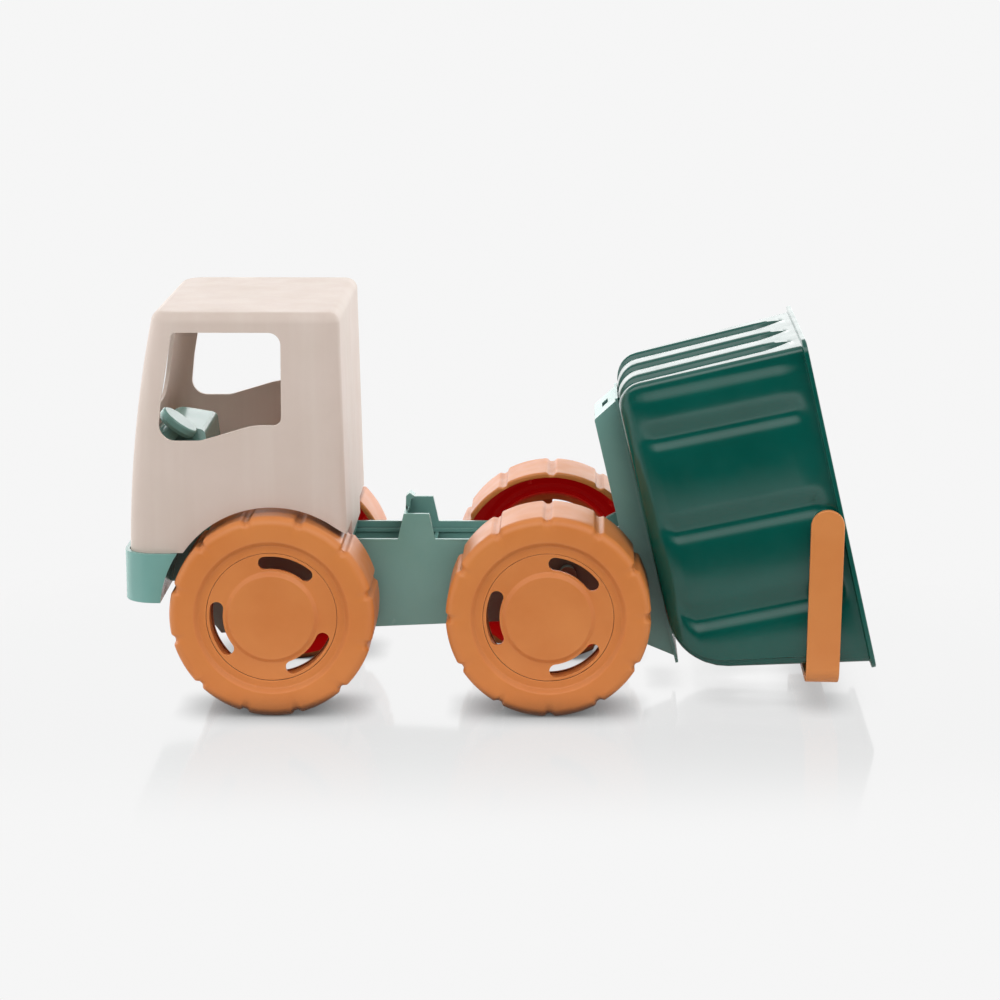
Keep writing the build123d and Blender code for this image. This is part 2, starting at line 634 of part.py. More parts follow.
with BuildPart() as hinge_pin_caps:
    for side in (-1, 1):
        with BuildSketch(SIDE.offset(side * BEAM_HALF)):
            with Locations((HINGE_X, HINGE_Z)):
                Circle(CAP_R)
        extrude(amount=side * (CAP_END - BEAM_HALF))
        with BuildSketch(SIDE.offset(side * BEAM_HALF)):
            with Locations((HINGE_X, HINGE_Z)):
                Circle(HINGE_R)
        extrude(amount=side * (PIN_HALF - BEAM_HALF), mode=Mode.SUBTRACT)
hinge_pin_caps.part.label = "hinge_pin_caps"
export_step(hinge_pin_caps.part, "parts/hinge_pin_caps.step")

# ---------------------------------------------------------------- tray under the tub

TRAY_ENDS = (-80.4, 49.3)          # along the bed, at the floor
TRAY_TOP_ENDS = (-88.9, 60.2)      # and where the sloped ends meet the tub
TRAY_FLANGE = 1.6
TRAY_FLANGE_ENDS = (-89.5, 63.1)
TRAY_FLANGE_LIP = 1.2              # how far it stands out on each side
TRAY_END_WALL = 1.6
TUB_SCREWS = [(-70.0, -13.0), (-70.0, 13.0), (42.0, -13.0), (42.0, 13.0)]
LATCH_SLOT = (3.6, 12.0)           # height and width
tub_seat = TRAY_FLOOR + SCREW_HEAD + SCREW_CLEARANCE       # these heads are sunk too
tub_boss = tub_seat + WALL

with BuildPart() as tipper_tray:
    outside = [
        (TRAY_ENDS[0], TRAY_FLOOR, 1.5),
        (TRAY_ENDS[1], TRAY_FLOOR, 1.5),
        (TRAY_TOP_ENDS[1], TRAY_TOP, 0),
        (TRAY_TOP_ENDS[0], TRAY_TOP, 0),
    ]
    extrude(profile(BED_SIDE, outside), amount=TRAY_HALF, both=True)
    with BuildSketch(BED.offset(TRAY_TOP - TRAY_FLANGE)):
        with Locations((sum(TRAY_FLANGE_ENDS) / 2, 0)):
            Rectangle(TRAY_FLANGE_ENDS[1] - TRAY_FLANGE_ENDS[0], 2 * (TRAY_HALF + TRAY_FLANGE_LIP))
    extrude(amount=TRAY_FLANGE)
    inside = [
        (TRAY_ENDS[0] + TRAY_END_WALL, TRAY_FLOOR + WALL, 0),
        (TRAY_ENDS[1] - TRAY_END_WALL, TRAY_FLOOR + WALL, 0),
        (TRAY_TOP_ENDS[1] - 2.2, TRAY_TOP, 0),
        (TRAY_TOP_ENDS[0] + 2.2, TRAY_TOP, 0),
    ]
    extrude(profile(BED_SIDE, inside), amount=TRAY_HALF - WALL, both=True, mode=Mode.SUBTRACT)

    # Two ears that hang in the trough and swing on the hinge pin.
    for side in (-1, 1):
        with BuildSketch(BED_SIDE.offset(side * EAR_INNER)):
            Circle(EAR_R)
            with Locations((-18.5, TRAY_FLOOR + 1), (16.0, TRAY_FLOOR + 1)):
                Circle(0.5)
            make_hull()
            Circle(HINGE_R + RUNNING_GAP, mode=Mode.SUBTRACT)
        extrude(amount=side * (EAR_OUTER - EAR_INNER))

    # Latch slot in the front end, and bosses over sunk screw heads in the floor.
    with BuildSketch(BED_SIDE):
        with Locations((TRAY_ENDS[0] - 2.0, TRAY_FLOOR + 7.0)):
            Rectangle(14.0, LATCH_SLOT[0])
    extrude(amount=LATCH_SLOT[1] / 2, both=True, mode=Mode.SUBTRACT)
    for radius, height, kind in (
        (SCREW_BOSS_R, tub_boss, Mode.ADD),
        (SCREW_R + SCREW_CLEARANCE, tub_boss, Mode.SUBTRACT),
        (SCREW_HEAD_R + SCREW_CLEARANCE, tub_seat, Mode.SUBTRACT),
    ):
        with BuildSketch(BED.offset(TRAY_FLOOR)):
            with Locations(*TUB_SCREWS):
                Circle(radius)
        extrude(amount=height - TRAY_FLOOR, mode=kind)
tipper_tray.part.label = "tipper_tray"
export_step(tipper_tray.part, "parts/tipper_tray.step")

with BuildPart() as tub_screws:
    for along, y in TUB_SCREWS:
        seat = bed_point(along, y, tub_seat)
        add(screw(Plane(seat, x_dir=along_bed, z_dir=above_bed), SCREW_GRIP))
tub_screws.part.label = "tub_screws"
export_step(tub_screws.part, "parts/tub_screws.step")

# ---------------------------------------------------------------- tub

TUB_CORNER_R = (4.5, 4.5)          # upright corners, at the base and at the rim
TUB_FOOT_R = (13.6, 27.0, 8.0)     # base edges: front, rear and sides
SIDE_GROOVES = (-68.0, -15.5, 34.5)      # along the bed
END_GROOVES = (-37.0, 0.0, 37.0)         # across it
SIDE_GROOVE_SIZE = (12.0, 1.8)           # width and depth
END_GROOVE_SIZE = (18.0, 2.4)
GROOVE_SPAN = (66.0, 132.0)              # heights of a side groove's end centres
END_GROOVE_START = (52.0, 78.0)          # front and rear grooves start at these heights


def tub_block(inset, top):
    """The tub's outer form up to a height, or its hollow when inset by the wall."""
    foot = TRAY_TOP + inset
    depth = RIM_TOP - TRAY_TOP

    def edge(ends, above):
        """A wall's place at a height above the hinge line."""
        return ends[0] + (ends[1] - ends[0]) * (above - TRAY_TOP) / depth

    with BuildPart() as block:
        for above, corner_r in zip((foot, top), TUB_CORNER_R):
            front = edge(TUB_FRONT, above) + inset
            rear = edge(TUB_REAR, above) - inset
            half = edge(TUB_HALF, above) - inset
            with BuildSketch(BED.offset(above)):
                with Locations(((front + rear) / 2, 0)):
                    RectangleRounded(rear - front, 2 * half, corner_r - inset)
        loft()
        lengthwise = [
            (edge(TUB_FRONT, foot) + inset, foot, TUB_FOOT_R[0] - inset),
            (edge(TUB_REAR, foot) - inset, foot, TUB_FOOT_R[1] - inset),
            (edge(TUB_REAR, top) - inset, top, 0),
            (edge(TUB_FRONT, top) + inset, top, 0),
        ]
        extrude(profile(BED_SIDE, lengthwise), amount=100, both=True, mode=Mode.INTERSECT)
        across = [
            (-edge(TUB_HALF, foot) + inset, foot, TUB_FOOT_R[2] - inset),
            (edge(TUB_HALF, foot) - inset, foot, TUB_FOOT_R[2] - inset),
            (edge(TUB_HALF, top) - inset, top, 0),
            (-edge(TUB_HALF, top) + inset, top, 0),
        ]
        extrude(profile(BED_CROSS, across), amount=300, both=True, mode=Mode.INTERSECT)
    return block.part


def wall_grooves(extra):
    """Round-ended bars laid along the tub's walls: they cut the grooves, and, made
    thicker by extra, they are the matching ridges inside."""
    side_width, side_depth = SIDE_GROOVE_SIZE
    end_width, end_depth = END_GROOVE_SIZE
    side_r = ((side_width / 2) ** 2 + side_depth**2) / (2 * side_depth)
    end_r = ((end_width / 2) ** 2 + end_depth**2) / (2 * end_depth)
    low, high = GROOVE_SPAN
    depth = RIM_TOP - TRAY_TOP
    bars = []

    def wall_at(ends, above):
        return ends[0] + (ends[1] - ends[0]) * (above - TRAY_TOP) / depth

    for along in SIDE_GROOVES:
        for side in (-1, 1):
            sunk = side_r - side_depth
            ends = [bed_point(along, side * (wall_at(TUB_HALF, h) + sunk), h) for h in (low, high)]
            bars.append((ends, side_r + extra))
    for y in END_GROOVES:
        for wall, way, start in ((TUB_FRONT, -1, END_GROOVE_START[0]), (TUB_REAR, 1, END_GROOVE_START[1])):
            sunk = way * (end_r - end_depth)
            ends = [bed_point(wall_at(wall, h) + sunk, y, h) for h in (start, high)]
            bars.append((ends, end_r + extra))

    with BuildPart() as cutters:
        for (start, finish), radius in bars:
            span = finish - start
            with BuildSketch(Plane(start, z_dir=span)):
                Circle(radius)
            extrude(amount=span.length)
            with Locations(start, finish):
                Sphere(radius)
    return cutters.part


PIVOT_BOSS_R = 7.5
PIVOT_BOSS_END = ARM_INNER - 0.4

with BuildPart() as tub_hollow:
    add(tub_block(TUB_WALL, RIM_TOP + 2))
    add(wall_grooves(TUB_WALL), mode=Mode.SUBTRACT)

with BuildPart() as tipper_tub:
    add(tub_block(0, RIM_TOP))
    # Rim flange and the bosses that space the handle's arms off the walls.
    with BuildSketch(BED.offset(RIM_TOP - TUB_FLANGE_THICKNESS)):
        front = TUB_FRONT[1] - TUB_FLANGE
        rear = TUB_REAR[1] + TUB_FLANGE
        with Locations(((front + rear) / 2, 0)):
            RectangleRounded(rear - front, 2 * (TUB_HALF[1] + TUB_FLANGE), TUB_CORNER_R[1] + TUB_FLANGE)
    extrude(amount=TUB_FLANGE_THICKNESS)
    with BuildSketch(BED_SIDE):
        with Locations(HANDLE_PIVOT):
            Circle(PIVOT_BOSS_R)
    extrude(amount=PIVOT_BOSS_END, both=True)
    add(tub_hollow.part, mode=Mode.SUBTRACT)
    add(wall_grooves(0), mode=Mode.SUBTRACT)
    # Handle pivot holes.
    with BuildSketch(BED_SIDE):
        with Locations(HANDLE_PIVOT):
            Circle(STUD_R + RUNNING_GAP)
    extrude(amount=PIVOT_BOSS_END + 1, both=True, mode=Mode.SUBTRACT)
    # Screw posts that stand on the tray's bosses.
    with BuildSketch(BED.offset(tub_boss)):
        with Locations(*TUB_SCREWS):
            Circle(SCREW_POST_R)
    extrude(amount=TRAY_TOP - tub_boss + 0.5)
    with BuildSketch(BED.offset(tub_boss)):
        with Locations(*TUB_SCREWS):
            Circle(SCREW_R)
    extrude(amount=SCREW_GRIP - WALL + 0.5, mode=Mode.SUBTRACT)
tipper_tub.part.label = "tipper_tub"
export_step(tipper_tub.part, "parts/tipper_tub.step")

# ---------------------------------------------------------------- carry handle

STUD_HEAD_R = 5.5
STUD_HEAD = 2.0
STUD_LENGTH = 10.2                 # arm's inner face to the stud's end
lean = radians(HANDLE_LEAN)
handle_pivot = bed_point(HANDLE_PIVOT[0], 0, HANDLE_PIVOT[1])
hang = Vector(-sin(lean), 0, -cos(lean))
FRONT_OF_HANDLE = Plane(handle_pivot, x_dir=(0, 1, 0), z_dir=(hang.Z, 0, -hang.X))
SIDE_OF_HANDLE = Plane(handle_pivot, x_dir=(hang.Z, 0, -hang.X), z_dir=(0, -1, 0))

with BuildPart() as carry_handle:
    arm_outer = ARM_INNER + STRAP
    bar_outer = HANDLE_INNER + STRAP
    half_width = HANDLE_WIDTH / 2
    strap = [
        (-arm_outer, -half_width, 0),
        (-arm_outer, bar_outer, HANDLE_CORNER_R),
        (arm_outer, bar_outer, HANDLE_CORNER_R),
        (arm_outer, -half_width, 0),
        (ARM_INNER, -half_width, 0),
        (ARM_INNER, HANDLE_INNER, HANDLE_CORNER_R - STRAP),
        (-ARM_INNER, HANDLE_INNER, HANDLE_CORNER_R - STRAP),
        (-ARM_INNER, -half_width, 0),
    ]
    extrude(profile(FRONT_OF_HANDLE, strap), amount=half_width, both=True)
    with BuildSketch(SIDE_OF_HANDLE):
        Circle(half_width)
        with Locations((0, bar_outer / 2)):
            Rectangle(HANDLE_WIDTH, bar_outer)
    extrude(amount=arm_outer + 1, both=True, mode=Mode.INTERSECT)
    # Snap studs that pass through the tub's walls, with a wider head inside.
    stud_head = ARM_INNER - STUD_LENGTH
    for side in (-1, 1):
        with BuildSketch(SIDE_OF_HANDLE.offset(side * stud_head)):
            Circle(STUD_R)
        extrude(amount=side * (ARM_INNER - stud_head + 0.5))
        with BuildSketch(SIDE_OF_HANDLE.offset(side * stud_head)):
            Circle(STUD_HEAD_R)
        extrude(amount=side * STUD_HEAD)
carry_handle.part.label = "carry_handle"
export_step(carry_handle.part, "parts/carry_handle.step")
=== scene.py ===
import json
import math

import bmesh
import bpy
import numpy as np
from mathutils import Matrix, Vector


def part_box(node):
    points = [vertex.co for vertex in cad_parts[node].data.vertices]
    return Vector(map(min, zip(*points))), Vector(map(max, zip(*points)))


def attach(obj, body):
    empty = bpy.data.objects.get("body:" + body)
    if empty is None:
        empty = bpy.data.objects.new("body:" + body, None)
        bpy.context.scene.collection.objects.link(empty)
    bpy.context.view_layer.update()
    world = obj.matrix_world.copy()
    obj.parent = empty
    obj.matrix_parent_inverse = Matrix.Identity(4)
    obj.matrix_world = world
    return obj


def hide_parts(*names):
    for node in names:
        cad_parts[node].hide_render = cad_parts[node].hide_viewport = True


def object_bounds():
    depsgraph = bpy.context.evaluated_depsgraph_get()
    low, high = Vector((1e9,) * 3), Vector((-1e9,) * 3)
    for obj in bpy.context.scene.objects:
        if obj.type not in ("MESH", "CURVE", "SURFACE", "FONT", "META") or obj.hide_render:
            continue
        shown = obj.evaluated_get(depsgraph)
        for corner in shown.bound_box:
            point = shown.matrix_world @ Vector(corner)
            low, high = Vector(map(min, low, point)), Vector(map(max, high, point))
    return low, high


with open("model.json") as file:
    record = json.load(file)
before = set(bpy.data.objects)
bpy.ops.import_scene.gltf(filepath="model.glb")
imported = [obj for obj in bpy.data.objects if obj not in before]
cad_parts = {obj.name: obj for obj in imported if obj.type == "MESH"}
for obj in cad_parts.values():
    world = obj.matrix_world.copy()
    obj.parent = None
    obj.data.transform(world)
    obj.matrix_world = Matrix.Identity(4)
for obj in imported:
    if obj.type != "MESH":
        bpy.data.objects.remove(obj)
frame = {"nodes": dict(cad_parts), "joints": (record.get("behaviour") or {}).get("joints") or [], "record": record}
cad_low, cad_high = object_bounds()
MM = 0.001
joints = {joint["name"]: joint for joint in frame["joints"]}

# ------------------------------------------------------------------ node trees


class Graph:
    """The node tree of a material or of the world, with short ways to add linked nodes."""

    def __init__(self, owner):
        owner.use_nodes = True
        self.nodes = owner.node_tree.nodes
        self.links = owner.node_tree.links

    def feed(self, socket, value):
        """Links a socket to another one, or gives it a plain value."""
        if isinstance(value, bpy.types.NodeSocket):
            self.links.new(value, socket)
        else:
            socket.default_value = value

    def add(self, kind, inputs=(), **settings):
        """A new node with its settings and with the inputs that differ from the default."""
        node = self.nodes.new("ShaderNode" + kind)
        for key, value in settings.items():
            setattr(node, key, value)
        for key, value in dict(inputs).items():
            self.feed(node.inputs[key], value)
        return node

    def maths(self, kind, a, b=0.0):
        return self.add("Math", {0: a, 1: b}, operation=kind).outputs[0]

    def vector(self, kind, a, b=(0.0, 0.0, 0.0)):
        node = self.add("VectorMath", {0: a, 1: b}, operation=kind)
        return node.outputs["Value" if kind in ("DOT_PRODUCT", "LENGTH") else "Vector"]

    def noise(self, where, scale, detail=3.0, roughness=0.55):
        inputs = {"Vector": where, "Scale": scale, "Detail": detail, "Roughness": roughness}
        return self.add("TexNoise", inputs).outputs["Fac"]

    def ramp(self, value, low, high, a=0.0, b=1.0, kind="LINEAR"):
        """A value from low to high becomes a to b, and is held beyond."""
        inputs = {"Value": value, "From Min": low, "From Max": high, "To Min": a, "To Max": b}
        return self.add("MapRange", inputs, interpolation_type=kind).outputs[0]

    def smooth_ramp(self, value, low, high, a=0.0, b=1.0):
        return self.ramp(value, low, high, a, b, "SMOOTHSTEP")

    def mix(self, share, a, b, socket_type="RGBA"):
        """a where the share is 0, b where it is 1: colours, or plain values."""
        data_type = "RGBA" if socket_type == "RGBA" else "FLOAT"
        node = self.add("Mix", {"Factor": share}, data_type=data_type)
        for name, value in (("A", a), ("B", b)):
            self.feed(next(s for s in node.inputs if s.name == name and s.type == socket_type), value)
        return next(s for s in node.outputs if s.type == socket_type)

    def bump(self, height, strength, distance):
        inputs = {"Height": height, "Strength": strength, "Distance": distance}
        return self.add("Bump", inputs)


# ------------------------------------------------------------------ materials

FRONT_LIGHT = 0.78                 # how much of a white surface's light a front face gets here
LINEAR_TOE = 0.04045               # below this the sRGB curve is a straight line
BRIGHTEST = 0.95                   # no plastic is whiter than this

# Scales of the noises, in waves per metre.
DRIFT = 26.0
STREAKS = 60.0
DUST_SPECKS = 900.0
DUST_PATCHES = 40.0
RUBBING = 160.0
GLOSS_PATCHES = 75.0
GRAIN = 1700.0
RIPPLE = 38.0

STREAK_STRETCH = (1.0, 1.0, 0.06)
EDGE_RADIUS = 0.7 * MM
GRAIN_DEPTH = 0.15 * MM
RIPPLE_DEPTH = 0.5 * MM
RIPPLE_STRENGTH = 0.10
GAP_REACH = 20 * MM
GAP_DARKNESS = 0.08                # the painted shade's colour in narrow gaps, as a share of the base colour
# painted light inside the tyres: a deep red shade colour, then a red glow and its strength
INSIDE_SHADE_RED = (0.55, 0.012, 0.010, 1.0)
GLOW_RED = (1.0, 0.004, 0.006, 1.0)
GLOW_STRENGTH = 0.13


def rgb(r, g, b):
    """The colour (0-255) a front face should show, as the linear base colour that gives it."""
    def linear(c):
        c /= 255.0
        value = c / 12.92 if c <= LINEAR_TOE else ((c + 0.055) / 1.055) ** 2.4
        return min(BRIGHTEST, value / FRONT_LIGHT)

    return (linear(r), linear(g), linear(b), 1.0)


def drifting_colour(graph, where, base, shade):
    """Slow drift between two close tones."""
    return graph.mix(graph.ramp(graph.noise(where, DRIFT, 4.0), 0.35, 0.68), base, shade)


def streaked(graph, where, colour, worn, amount):
    """Faint pale flow lines that run up the moulding."""
    stretched = graph.add("Mapping", {"Vector": where, "Scale": STREAK_STRETCH}).outputs[0]
    flow = graph.ramp(graph.noise(stretched, STREAKS, 3.0, 0.6), 0.42, 0.66, 0.0, amount)
    return graph.mix(flow, colour, worn)


def dusty(graph, where, colour, worn, amount):
    """Fine pale specks, gathered in patches."""
    specks = graph.ramp(graph.noise(where, DUST_SPECKS, 2.0, 0.7), 0.70, 0.78, 0.0, amount)
    patches = graph.ramp(graph.noise(where, DUST_PATCHES), 0.45, 0.65)
    return graph.mix(graph.maths("MULTIPLY", specks, patches), colour, worn)


def painted_inside_glow(graph, surface, colour, inner):
    """Painted light: where a mesh is marked inside, the colour turns deep red and a faint red glow is added,
    standing in for shade and for light soaking through the thin orange wall.
    """
    hidden = graph.add("Attribute", attribute_name="inside").outputs["Fac"]
    graph.feed(surface.inputs["Emission Color"], GLOW_RED)
    graph.feed(surface.inputs["Emission Strength"], graph.maths("MULTIPLY", hidden, GLOW_STRENGTH))
    return graph.mix(hidden, colour, inner)


def edge_worn(graph, where, colour, worn, amount):
    """Edge wear: where a rounded normal leaves the true one, broken up by noise."""
    rounded = graph.add("Bevel", {"Radius": EDGE_RADIUS}, samples=3).outputs[0]
    true_normal = graph.add("NewGeometry").outputs["Normal"]
    flatness = graph.vector("DOT_PRODUCT", true_normal, rounded)
    edges = graph.ramp(flatness, 0.995, 0.90, 0.0, amount)
    rubbed = graph.ramp(graph.noise(where, RUBBING), 0.35, 0.6, 0.35, 1.0)
    return graph.mix(graph.maths("MULTIPLY", edges, rubbed), colour, worn)


def painted_gap_shade(graph, colour, base, amount):
    """Painted shade: narrow gaps and recesses, found by ambient occlusion, get a darker colour that stands in for
    the shade there.
    """
    openness = graph.add("AmbientOcclusion", {"Distance": GAP_REACH}, samples=6).outputs["AO"]
    deep = tuple(GAP_DARKNESS * c for c in base[:3]) + (1.0,)
    return graph.mix(graph.ramp(openness, 0.42, 0.86, amount, 0.0), colour, deep)


def plastic(
    name, base, shade, worn, rough=0.42, grain=0.05, wear=0.35,
    dust=0.0, streak=0.0, spec=0.5, gap=0.0, inner=None, metal=0.0,
):
    """A moulded surface: slow colour drift, satin grain, patchy gloss, pale worn edges and dust, with painted
    shade in narrow gaps and a painted red shade and glow inside where asked.
    """
    material = bpy.data.materials.new(name)
    graph = Graph(material)
    surface = graph.nodes["Principled BSDF"]
    where = graph.add("TexCoord").outputs["Object"]
    colour = drifting_colour(graph, where, base, shade)
    if streak:
        colour = streaked(graph, where, colour, worn, streak)
    if dust:
        colour = dusty(graph, where, colour, worn, dust)
    # painted light: red shade colour and red glow on the tyre's inside
    if inner:
        colour = painted_inside_glow(graph, surface, colour, inner)
    colour = edge_worn(graph, where, colour, worn, wear)
    # painted shade: the colour darkens in narrow gaps
    if gap:
        colour = painted_gap_shade(graph, colour, base, gap)
    gloss = graph.ramp(graph.noise(where, GLOSS_PATCHES, 4.0), 0.3, 0.7, rough - 0.05, rough + 0.06)
    fine = graph.bump(graph.noise(where, GRAIN, 2.0), grain, GRAIN_DEPTH)
    wavy = graph.bump(graph.noise(where, RIPPLE, 1.0), RIPPLE_STRENGTH, RIPPLE_DEPTH)
    graph.feed(wavy.inputs["Normal"], fine.outputs[0])
    graph.feed(surface.inputs["Base Color"], colour)
    graph.feed(surface.inputs["Roughness"], gloss)
    graph.feed(surface.inputs["Normal"], wavy.outputs[0])
    graph.feed(surface.inputs["Specular IOR Level"], spec)
    graph.feed(surface.inputs["Metallic"], metal)
    return material


# gap: how strongly narrow gaps get painted shade
LOOKS = {
    "orange_tyre": dict(
        base=rgb(208, 128, 66), shade=rgb(203, 121, 60), worn=rgb(226, 160, 104),
        # inner: the painted red shade colour inside the tyre
        rough=0.38, grain=0.06, dust=0.05, spec=0.46, gap=0.9, inner=INSIDE_SHADE_RED,
    ),
    "orange_hub": dict(
        base=rgb(208, 129, 68), shade=rgb(201, 120, 60), worn=rgb(228, 162, 108),
        rough=0.38, grain=0.09,
    ),
    "orange_handle": dict(
        base=rgb(208, 131, 70), shade=rgb(203, 124, 64), worn=rgb(226, 160, 104),
        rough=0.35, grain=0.05,
    ),
    "beige_cab": dict(
        base=rgb(206, 190, 180), shade=rgb(202, 186, 175), worn=rgb(226, 216, 206),
        rough=0.46, grain=0.05, streak=0.18, spec=0.32,
    ),
    "sage_green": dict(
        base=rgb(120, 166, 159), shade=rgb(114, 160, 152), worn=rgb(166, 198, 190),
        rough=0.22, grain=0.04, wear=0.5, gap=0.6,
    ),
    "dark_green": dict(
        base=rgb(0, 80, 70), shade=rgb(0, 75, 65), worn=rgb(70, 122, 108),
        rough=0.17, grain=0.025, dust=0.10, spec=0.70,
    ),
    "steel": dict(
        base=rgb(178, 178, 180), shade=rgb(150, 151, 154), worn=rgb(214, 214, 216),
        rough=0.28, grain=0.04, wear=0.3, metal=1.0,
    ),
}
finish = {name: plastic(name, **look) for name, look in LOOKS.items()}

# ------------------------------------------------------------------ mesh helpers

BEVEL_SEGMENTS = 3
BEVEL_FROM = math.radians(28.0)    # edges sharper than this get a moulded radius
FLAT_WITHIN = math.radians(0.4)    # facets closer than this are one flat
WELD_WITHIN = 2e-6
FLATS_FIRST = 80                   # how strongly a flat keeps its own normal


def smooth(t):
    """0 to 1 with a soft start and a soft end, held beyond."""
    t = np.clip(t, 0.0, 1.0)
    return t * t * (3 - 2 * t)


def band(distance, half, shoulder):
    """1 in the middle of a band, 0 outside, with a smooth shoulder."""
    return smooth((half - np.abs(distance)) / shoulder + 0.5)


def round_corner(before, here, after, radius, step):
    """Points along the arc that rounds a corner, one for each step of degrees or less."""
    back, ahead = before - here, after - here
    back_length, ahead_length = np.linalg.norm(back), np.linalg.norm(ahead)
    a, b = back / back_length, ahead / ahead_length
    half = math.acos(max(-1.0, min(1.0, float(a @ b)))) / 2
    cut = min(radius / math.tan(half), 0.49 * back_length, 0.49 * ahead_length)
    centre = here + (a + b) / np.linalg.norm(a + b) * (cut * math.tan(half) / math.sin(half))
    start, stop = here + a * cut - centre, here + b * cut - centre
    turn = math.pi - 2 * half
    steps = max(2, math.ceil(math.degrees(turn) / step))
    shares = [k / steps for k in range(steps + 1)]
    return [
        centre + (start * math.sin((1 - t) * turn) + stop * math.sin(t * turn)) / math.sin(turn)
        for t in shares
    ]


def outline(corners, step):
    """(x, y, corner radius) points to a closed outline with true round corners."""
    places = [np.array((x, y), float) for x, y, _ in corners]
    points = []
    for i, (_, _, radius) in enumerate(corners):
        if radius > 0:
            after = places[(i + 1) % len(places)]
            points += round_corner(places[i - 1], places[i], after, radius, step)
        else:
            points.append(places[i])
    return points


def filled_in(points, gap):
    """Adds points so that no stretch of a closed outline is longer than the gap."""
    full = []
    for i, start in enumerate(points):
        stop = points[(i + 1) % len(points)]
        count = max(1, math.ceil(np.linalg.norm(stop - start) / gap))
        full += [start + (stop - start) * k / count for k in range(count)]
    return np.array(full)


def grid_faces(rings, columns, wrap_rings=False, first=0):
    """Quads between rings of points; the columns always wrap round."""
    faces = []
    for i in range(rings if wrap_rings else rings - 1):
        here, there = first + i * columns, first + (i + 1) % rings * columns
        for k in range(columns):
            n = (k + 1) % columns
            faces.append((here + k, here + n, there + n, there + k))
    return faces


def piece(name, verts, faces, body, slot_name, stands_for, sharp, inside=None):
    """A mesh object in metres that rides on a body; its faces are turned outwards."""
    mesh = bpy.data.meshes.new(name)
    mesh.from_pydata([tuple(v) for v in verts * MM], [], faces)
    mesh.validate()
    obj = bpy.data.objects.new(name, mesh)
    bpy.context.scene.collection.objects.link(obj)
    bm = bmesh.new()
    bm.from_mesh(mesh)
    bmesh.ops.recalc_face_normals(bm, faces=bm.faces)
    limit = math.radians(sharp)
    for edge in bm.edges:
        edge.smooth = not (len(edge.link_faces) == 2 and edge.calc_face_angle(0.0) > limit)
    bm.to_mesh(mesh)
    bm.free()
    for polygon in mesh.polygons:
        polygon.use_smooth = True
    if inside is not None:
        mesh.attributes.new("inside", "FLOAT", "POINT").data.foreach_set("value", inside)
    mesh.materials.append(finish[slot_name])
    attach(obj, body)
    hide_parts(stands_for)


def soften(obj, width):
    """Small moulded radii on a hard-edged mesh, with shading that keeps its flats flat."""
    weld = obj.modifiers.new("weld", "WELD")
    weld.merge_threshold = WELD_WITHIN
    flats = obj.modifiers.new("flats", "DECIMATE")
    flats.decimate_type = "DISSOLVE"
    flats.angle_limit = FLAT_WITHIN
    radii = obj.modifiers.new("radii", "BEVEL")
    radii.width = width * MM
    radii.segments = BEVEL_SEGMENTS
    radii.limit_method = "ANGLE"
    radii.angle_limit = BEVEL_FROM
    radii.miter_outer = "MITER_ARC"
    normals = obj.modifiers.new("normals", "WEIGHTED_NORMAL")
    normals.keep_sharp = False
    normals.weight = FLATS_FIRST


def dress(node, width):
    """A CAD node that is shown as it is: its material, smooth shading and small radii."""
    obj = frame["nodes"][node]
    slot_name = next(s["material_slot"] for s in frame["record"]["subparts"] if s["node"] == node)
    obj.data.materials.clear()
    obj.data.materials.append(finish[slot_name])
    for polygon in obj.data.polygons:
        polygon.use_smooth = True
    if width:
        soften(obj, width)


# ------------------------------------------------------------------ wheels

WHEEL_R = 55.0
WHEEL_WIDTH = 46.0
HUB_SEAT_R = 35.08                 # the hub disc sits inside this with a fine parting ring
FACE_DEPTH = 2.6                   # the ring round the hub lies this far behind the raised face
WEB_BACK = 3.2                     # the raised face's back, seen from inside
RING_BACK = 5.8
SEAT_BACK = 12.0
SLEEVE_BACK = 14.0
SLEEVE_R = 37.4
LIP_R = 32.6
TREAD_INSIDE_R = 51.8
SLOT_ANGLES = {"front": 73.5, "rear": 60.5}     # how far each axle's wheels are turned, in degrees

# The tyre's section: radius, depth behind the outer face, corner radius.
TYRE_CORNERS = [
    (HUB_SEAT_R, FACE_DEPTH, 0.35),
    (39.2, FACE_DEPTH, 1.6),
    (41.6, 0.0, 1.6),
    (WHEEL_R, 0.0, 5.0),
    (WHEEL_R, WHEEL_WIDTH, 1.4),
    (TREAD_INSIDE_R, WHEEL_WIDTH, 0.7),
    (TREAD_INSIDE_R, WEB_BACK, 3.0),
    (43.0, WEB_BACK, 1.5),
    (40.6, RING_BACK, 1.5),
    (SLEEVE_R, RING_BACK, 0.5),
    (SLEEVE_R, SLEEVE_BACK, 0.3),
    (LIP_R, SLEEVE_BACK, 0.3),
    (LIP_R, SEAT_BACK, 0.0),
    (HUB_SEAT_R, SEAT_BACK, 0.0),
]
ARC_STEP = 9.0
SECTION_GAP = 3.0

TREAD_GROOVES = 12
TREAD_GROOVE_HALF = 2.0
TREAD_GROOVE_SHOULDER = 2.6
TREAD_GROOVE_DEPTH = 1.7
GROOVE_REACH = 5.0                 # the tread's columns are close within this of a groove
GROOVE_COLUMNS, LAND_COLUMNS = 19, 9
SKIN = 2.6                         # the groove fades out over this much of the wall
NOTCH_FROM_R, NOTCH_LENGTH = 46.5, 7.0
NOTCH_CURVE = 1.6
NOTCH_SHARE = 0.75                 # how deep the notch bites into the face, next to the tread
NOTCH_FADE_FROM, NOTCH_FADE_LENGTH = 0.4, 4.6
FACE_LIMIT = 3.0                   # points less deep than this are on the outer face

RIBS = 6
RIB_TURN = math.radians(15)
RIB_RADII = (47.6, 52.4)
RIB_DEPTHS = (3.0, 35.4)
RIB_HALF = 0.8
